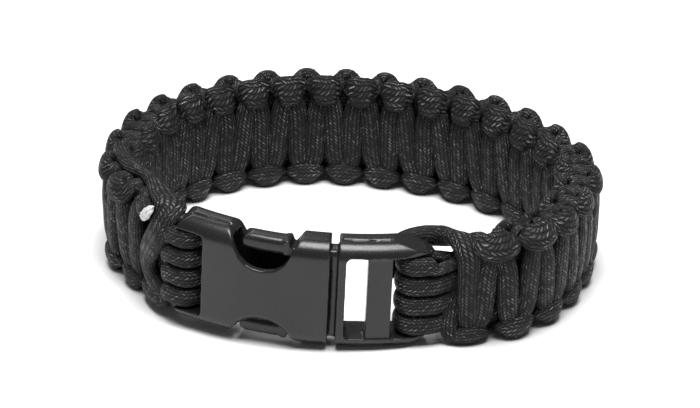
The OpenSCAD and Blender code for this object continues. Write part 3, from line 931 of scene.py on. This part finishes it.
@dataclass
class Band:
    """The woven band with its working strands, its core strands and the cord's melted end."""

    loop: Loop
    weave: CobraWeave
    finish: Finishes
    core_wide: float = 4.25
    core_thick: float = 2.9
    core_gap: float = 0.05
    core_rows: int = 4
    core_around: int = 12
    core_sample: float = 1.5
    # How far the core strands reach past the knots, at the plug, there at the top, at the socket
    core_lead: float = 3.4
    core_lead_top: float = -0.5
    core_past: float = 2.2
    # From behind the plug's rail, over the top edge and down as the first leg: distance from
    # the first leg's place, distance outwards, height, width, thickness
    lead: tuple[Row, ...] = (
        (-12.4, -6.0, 0.6, 3.8, 3.8),
        (-12.3, -6.0, 3.0, 3.8, 3.8),
        (-11.7, -6.0, 5.2, 3.8, 3.8),
        (-10.3, -6.0, 6.7, 3.8, 3.8),
        (-8.5, -6.0, 7.5, 3.8, 3.8),
        (-6.5, -5.9, 7.9, 3.9, 3.8),
        (-4.6, -5.2, 8.2, 4.0, 3.6),
        (-3.0, -3.9, 8.8, 4.3, 3.4),
        (-1.6, -2.1, 9.5, 4.7, 3.1),
        (-0.3, -0.1, 9.9, 5.0, 2.9),
        (0.5, 1.7, 9.4, 5.0, 2.8),
        (1.0, 2.7, 8.0, 4.8, 2.8),
        (1.1, 3.0, 6.0, 4.5, 2.8),
        (1.1, 3.0, 0.0, 4.3, 2.9),
        (1.2, 2.8, -5.0, 4.2, 2.9),
        (1.4, 2.2, -7.6, 3.9, 2.9),
        (1.9, 1.2, -9.0, 3.4, 2.9),
        (2.8, 0.3, -9.6, 2.9, 2.9),
    )
    # The short end at the first leg's foot, along the lower edge and up the inner face
    tail: tuple[Row, ...] = (
        (-0.9, 0.3, 0.8, 3.0, 2.6),
        (-1.7, 1.4, -1.8, 3.2, 2.7),
        (-2.1, 2.2, -4.6, 3.4, 2.7),
        (-2.3, 2.4, -7.2, 3.6, 2.8),
        (-1.9, 2.8, -9.0, 3.9, 2.7),
        (-0.8, 3.1, -9.6, 4.2, 2.6),
        (0.6, 3.2, -9.6, 4.4, 2.6),
        (2.2, 3.1, -9.5, 4.4, 2.6),
        (3.4, 2.6, -9.5, 4.0, 2.6),
        (4.0, 1.4, -9.8, 3.2, 2.8),
        (3.6, -0.3, -9.9, 3.0, 2.9),
        (2.6, -1.6, -9.1, 3.2, 2.9),
        (1.4, -2.4, -7.2, 3.7, 2.8),
        (0.4, -2.8, -4.6, 4.1, 2.8),
        (0.0, -2.9, 0.0, 4.3, 2.8),
        (0.4, -2.8, 4.6, 4.1, 2.8),
        (1.4, -2.3, 7.4, 3.6, 2.8),
        (2.4, -1.3, 9.2, 3.1, 2.9),
        (3.3, -0.3, 9.9, 2.8, 2.9),
    )
    # The last leg, over the top edge and tucked back along the inner edge: distance from the
    # band's end, then as above
    tie_off: tuple[Row, ...] = (
        (-5.6, 0.4, -8.9, 3.0, 2.9),
        (-5.2, 2.0, -8.6, 3.4, 2.8),
        (-3.8, 3.0, -8.3, 3.9, 2.6),
        (-1.5, 3.2, -8.0, 4.1, 2.6),
        (0.8, 3.1, -7.8, 4.1, 2.6),
        (1.9, 2.8, -7.2, 4.4, 2.6),
        (0.4, 2.8, -6.2, 4.6, 2.6),
        (-1.9, 2.9, -4.8, 4.8, 2.6),
        (-2.9, 3.0, -2.6, 5.2, 2.6),
        (-2.2, 3.1, 0.0, 5.5, 2.6),
        (-0.3, 3.2, 2.6, 5.6, 2.6),
        (2.0, 3.2, 5.4, 5.5, 2.6),
        (3.7, 2.8, 8.0, 5.6, 2.6),
        (4.2, 1.7, 10.0, 5.9, 2.6),
        (3.6, 0.2, 11.0, 6.2, 2.6),
        (1.8, -0.8, 11.3, 6.3, 2.6),
        (-1.4, -1.1, 11.1, 6.0, 2.6),
        (-5.5, -1.7, 10.8, 5.2, 2.6),
        (-12.0, -2.7, 10.5, 3.5, 2.6),
        (-18.0, -1.4, 10.7, 3.5, 2.6),
        (-24.0, 0.0, 10.4, 3.5, 2.6),
        (-28.0, 0.6, 9.6, 3.4, 2.6),
    )
    # The other strand's last stretch, over the top edge to the melted end
    cut: tuple[Row, ...] = (
        (-5.2, 0.8, 9.9, 3.0, 2.8),
        (-4.0, 2.1, 9.7, 3.4, 2.8),
        (-2.4, 2.9, 9.4, 3.7, 3.0),
        (-1.0, 3.1, 9.3, 3.7, 3.2),
    )

    def build(self) -> None:
        """Builds and dresses every strand of the band."""
        weave = self.weave
        rows = weave.strand_rows(range(1, weave.half_knots - 1))
        tail, tie_off = self.moved(self.tail, weave.first), self.moved(self.tie_off, weave.end)
        one = np.vstack([tail, weave.pads_raised(rows), tie_off])
        adopt(weave.tube("strand_one", one), Slot.CORD, self.finish.cord, "woven_band")
        other = weave.near_pads_raised(weave.other_face(rows)[: -2 * len(weave.turn)])
        lead, cut = self.moved(self.lead, weave.first), self.moved(self.cut, weave.end)
        two = np.vstack([lead, other, cut])
        adopt(weave.tube("strand_two", two), Slot.CORD, self.finish.cord, "lead_strand")
        self.core()

    @staticmethod
    def moved(table: tuple[Row, ...], s: float) -> Array:
        """Rows of an end's table, with s added to their first column."""
        return np.array(table) + np.array([s, 0.0, 0.0, 0.0, 0.0])

    def core(self) -> None:
        """Lays the core strands side by side down the middle of the band."""
        weave, leaned = self.weave, self.loop.leaned
        for k in range(self.core_rows):
            lead = self.core_lead if k < self.core_rows - 1 else self.core_lead_top
            s = np.arange(weave.start - lead, weave.end + self.core_past, self.core_sample)
            flat, even = np.zeros_like(s), np.ones_like(s)
            v = (k - (self.core_rows - 1) / 2) * (self.core_wide + self.core_gap) * even
            centre = leaned(s, flat, v)
            hint = leaned(s, even, v) - centre
            wide, thick = self.core_wide * even, self.core_thick * even
            tube = SheathedTube(around=self.core_around)
            piece = tube.build(f"core_strand_{k + 1}", centre, hint, wide, thick)
            adopt(piece, Slot.CORD, self.finish.cord)


@dataclass
class BarStrands:
    """Pressed strands side by side round the plug's or the socket's end bar."""

    loop: Loop
    weave: CobraWeave
    finish: Finishes
    end: BarEnd
    rail_h: float = 2.5
    bar_len: float = 3.0
    bar_t: float = 2.8
    gap: float = 0.3
    count: int = 4
    flat_t: float = 2.3
    sample: float = 0.5
    turn_step_deg: float = 15.0
    # A leg from the turn inwards: slack beside the bar, first row, rows, reach past the lead
    slack: float = 0.2
    leg_from: float = 0.6
    leg_rows: int = 7
    leg_past: float = 3.0
    # Share by which the legs close in, and from where and over what share of the lead
    close: float = 0.72
    close_from: float = 0.35
    close_over: float = 0.75
    # From where, and over what share of the lead, the buckle's lean turns into the band's
    blend_from: float = 0.15
    blend_over: float = 0.8
    # Where the plug's top strand is squeezed down under the lead strand, from the bar inwards:
    # share of its width lost, drop, and the stretch between which it holds
    squeeze: float = 0.45
    drop: float = 1.0
    squeeze_from: float = 1.5
    squeeze_to: float = 6.8
    squeeze_ramp: float = 2.3

    def build(self) -> None:
        """Builds each strand as its own piece, in place of its CAD node."""
        label = self.end.name.lower()
        for k in range(self.count):
            adopt(self.strand(k), Slot.CORD, self.finish.cord, f"{label}_loop_{k + 1}")

    def strand(self, k: int) -> bpy.types.Object:
        """One strand: in from the core at the front, round the bar and back at the rear.

        The legs close in on the core as they near the band, and their height turns from the
        buckle's lean to the band's.

        Args:
            k: Number of the strand from below.

        Returns:
            The strand.
        """
        slot_h = self.loop.buckle_h - 2 * self.rail_h
        wide = (slot_h - (self.count + 1) * self.gap) / self.count
        z = self.rail_h + self.gap + (k + 0.5) * wide + k * self.gap
        at_plug = self.end is BarEnd.PLUG
        lead = self.weave.plug_lead if at_plug else self.weave.socket_lead
        r = self.bar_t / 2 + self.gap + self.flat_t / 2
        half_flat = (self.bar_len - self.bar_t) / 2 + self.slack
        a = np.radians(np.arange(-90.0, 91.0, self.turn_step_deg))
        turn = np.stack([-half_flat - r * np.cos(a), -r * np.sin(a)], axis=-1)
        out = np.linspace(lead + self.leg_past, self.leg_from, self.leg_rows)
        closing = 1.0 - self.close * ease((out - self.close_from * lead) / (self.close_over * lead))
        leg = np.stack([out, r * closing], axis=-1)
        rows = np.vstack([leg, turn, (leg * np.array([1.0, -1.0]))[::-1]])
        rows = smooth(np.column_stack([rows, np.zeros(len(rows))]), self.sample)
        d, w = rows[:, 0], rows[:, 1]
        direction = unit(np.gradient(rows[:, :2], axis=0))
        s = d if at_plug else self.loop.length - d
        squeezed = self.squeezed(d) if at_plug and k == self.count - 1 else np.zeros_like(d)
        z = z - self.drop * squeezed
        centre = self.blended(s, w, z, d / lead)
        ahead = s - self.end.value * direction[:, 1]
        hint = self.blended(ahead, w + direction[:, 0], z, d / lead) - centre
        wide = wide * (1.0 - self.squeeze * squeezed)
        thick = np.full(len(d), self.flat_t)
        name = f"{self.end.name.lower()}_bar_strand_{k + 1}"
        return SheathedTube().build(name, centre, -hint, wide, thick)

    def squeezed(self, d: Array) -> Array:
        """Share of the squeeze at distances d from the bar, 0 to 1 and back to 0."""
        rise = ease((d - self.squeeze_from) / self.squeeze_ramp)
        return rise * (1.0 - ease((d - self.squeeze_to) / self.squeeze_ramp))

    def blended(self, s: Array, w: Array, z: Array, share: Array) -> Array:
        """Points that lean with the buckle at the bar and with the band further on.

        Args:
            s: Lengths along the line.
            w: Distances outwards.
            z: Heights above the buckle's lower edge.
            share: Distances from the bar, as shares of the lead.

        Returns:
            Points in millimetres, one a row.
        """
        v = z - self.loop.band_h / 2
        on_bar = self.loop.rolled(self.loop.place(s, w, v))
        v_band = v + (self.loop.band_h - self.loop.buckle_h) / 2
        in_band = self.loop.leaned(s, w, v_band)
        k = ease((share - self.blend_from) / self.blend_over)[:, None]
        return on_bar * (1.0 - k) + in_band * k


@dataclass
class CutEnd:
    """The cord's melted white end, a lumpy slanted oval on a short stump.

    Its radii at a share t from rim to tip are those of the oval times cos(90 t)^p beyond the
    stump, times 1 + a few sine waves, and the crest is ruffled by two sine waves more.
    """

    loop: Loop
    weave: CobraWeave
    finish: Finishes
    long: float = 1.95
    short: float = 1.2
    height: float = 1.0
    sunk: float = 0.6
    stump: float = 0.3
    taper: float = 0.6
    least: float = 0.01
    back: float = 0.32
    slant_deg: float = 30.0
    tilt_deg: float = 30.0
    rings: int = 22
    around: int = 40
    # Sine waves on the radii: size, waves around, turn towards the tip, start
    lumps: tuple[Row, ...] = (
        (0.07, 3.0, 0.0, 1.0),
        (0.05, 7.0, 4.0, 0.0),
        (0.03, 11.0, -6.0, 0.0),
    )
    # Ruffle of the crest: size, waves around, their start, waves along, their start
    ruffle: Row = (0.08, 5.0, 3.0, 9.0, 1.0)
    ruffle_over: float = 0.5

    def build(self) -> None:
        """Builds the oval in place of its CAD node."""
        lo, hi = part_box("cut_end")
        mid = (np.array(lo) + np.array(hi)) / 2 / MM
        s = self.weave.end - self.back * self.weave.step + np.array([0.0, 0.0, 0.5])
        p = self.loop.place(s, np.array([0.0, 1.0, 0.0]), np.zeros(3))
        out, run = unit(p[1] - p[0]), unit(p[2] - p[0])
        up = np.array([0.0, 0.0, 1.0])
        tilt, slant = math.radians(self.tilt_deg), math.radians(self.slant_deg)
        axis = out * math.cos(tilt) + up * math.sin(tilt)
        rise = up * math.cos(tilt) - out * math.sin(tilt)
        side = rise * math.cos(slant) + run * math.sin(slant)
        other = np.cross(axis, side)
        t = np.linspace(0.0, 1.0, self.rings)[:, None]
        a = np.linspace(0.0, 2 * np.pi, self.around, endpoint=False)[None, :]
        share = 1.0 + sum(size * np.sin(n * a + turn * t + start) for size, n, turn, start in self.lumps)
        beyond = np.maximum(t - self.stump, 0.0) / (1 - self.stump)
        share = np.maximum(share * np.cos(np.pi / 2 * beyond) ** self.taper, self.least)
        size, n, start, m, begin = self.ruffle
        ruffle = size * np.sin(n * a + start) * np.sin(m * t + begin) * ease(t / self.ruffle_over)
        lift = self.height * (t - self.sunk) + ruffle
        points = (
            mid
            + (share * self.long * np.cos(a))[..., None] * side
            + (share * self.short * np.sin(a))[..., None] * other
            + lift[..., None] * axis
        )
        adopt(ring_mesh("melted_end", points), Slot.MELTED, self.finish.melted, "cut_end")


# The buckle


@dataclass
class BuckleHalf:
    """One half of the buckle: the solid's own shape with every edge softened as moulded.

    The welded copy is remeshed into small even faces, and each vertex is then moved again and
    again halfway to the mean of its neighbours, which rounds the edges and leaves flats flat.
    """

    node: str
    finish: Finishes
    voxel: float = 0.2
    rounds: int = 10
    halfway: float = 0.5
    weld: float = 0.004

    def build(self) -> None:
        """Builds the softened copy in place of its CAD node."""
        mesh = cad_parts[self.node].data.copy()
        work = bmesh.new()
        work.from_mesh(mesh)
        bmesh.ops.remove_doubles(work, verts=work.verts, dist=self.weld * MM)
        work.to_mesh(mesh)
        work.free()
        mesh.name = self.node + "_soft"
        piece = linked(mesh)
        remesh = piece.modifiers.new("even_faces", "REMESH")
        remesh.mode = "VOXEL"
        remesh.voxel_size = self.voxel * MM
        remesh.use_smooth_shade = True
        soften = piece.modifiers.new("softened_edges", "SMOOTH")
        soften.factor = self.halfway
        soften.iterations = self.rounds
        adopt(piece, Slot.BUCKLE, self.finish.plastic, self.node)


# The studio


@dataclass
class Studio:
    """Plain pale floor, soft lights and the camera at the photograph's angle, in metres."""

    elevation_deg: float = 28.9
    camera_at: Row = (-0.00007, -0.74724, 0.4242)
    lens: float = 222.94
    sensor: float = 36.0
    clip_start: float = 0.01
    floor_tone: float = 0.9
    floor_roughness: float = 0.8
    floor_size: float = 6.0
    sky: float = 0.12
    aim: Row = (0.0, 0.0, 0.012)
    # Soft lights: name, place, width and height, power in watts
    lamps: tuple[tuple[str, Row, tuple[float, float], float], ...] = (
        ("overhead", (0.02, -0.1, 0.7), (0.4, 0.4), 8.6),
        ("behind", (-0.25, 0.55, 0.5), (0.5, 0.25), 1.2),
    )

    def build(self) -> None:
        """Sets the whole studio up."""
        self.floor()
        self.lights()
        self.camera()

    def floor(self) -> None:
        """A wide pale floor under the bracelet."""
        half = self.floor_size / 2
        mesh = bpy.data.meshes.new("floor")
        corners = [(-half, -half, 0.0), (half, -half, 0.0), (half, half, 0.0), (-half, half, 0.0)]
        mesh.from_pydata(corners, [], [(0, 1, 2, 3)])
        pale = MaterialTree("pale_floor")
        pale.paint(grey(self.floor_tone), self.floor_roughness)
        mesh.materials.append(pale.material)
        linked(mesh)

    def area(self, name: str, at: Row, size: tuple[float, float], power: float) -> None:
        """A soft rectangular light that faces the bracelet.

        Args:
            name: Name of the light.
            at: Its place in metres.
            size: Its width and height in metres.
            power: Its power in watts.
        """
        light = bpy.data.lights.new(name, "AREA")
        light.shape = "RECTANGLE"
        light.size, light.size_y = size
        light.energy = power
        lamp = linked(light)
        lamp.location = at
        x, y, z = np.array(self.aim) - np.array(at)
        lamp.rotation_euler = (math.atan2(math.hypot(x, y), -z), 0.0, math.atan2(y, x) - math.pi / 2)

    def lights(self) -> None:
        """One large light overhead, a strip behind and a faint even sky."""
        for name, at, size, power in self.lamps:
            self.area(name, at, size, power)
        world = bpy.data.worlds.new("studio")
        world.use_nodes = True
        back = world.node_tree.nodes["Background"]
        back.inputs["Color"].default_value = grey(1.0)
        back.inputs["Strength"].default_value = self.sky
        bpy.context.scene.world = world
        bpy.context.scene.view_settings.view_transform = "Standard"

    def camera(self) -> None:
        """The camera, level from side to side and looking down at the loop."""
        data = bpy.data.cameras.new("camera")
        data.lens = self.lens
        data.sensor_width = self.sensor
        data.clip_start = self.clip_start
        cam = linked(data)
        cam.location = self.camera_at
        cam.rotation_euler = (math.radians(90.0 - self.elevation_deg), 0.0, 0.0)
        bpy.context.scene.camera = cam


def main() -> None:
    """Builds the bracelet piece by piece, then the studio."""
    logging.basicConfig(level=logging.INFO, format="%(name)s %(message)s")
    Studio().build()
    finish = Finishes.make()
    loop = Loop()
    weave = CobraWeave(loop)
    Band(loop, weave, finish).build()
    for end in BarEnd:
        BarStrands(loop, weave, finish, end).build()
    CutEnd(loop, weave, finish).build()
    for node in ("socket_buckle", "plug_buckle"):
        BuckleHalf(node, finish).build()


if __name__ == "__main__":
    main()
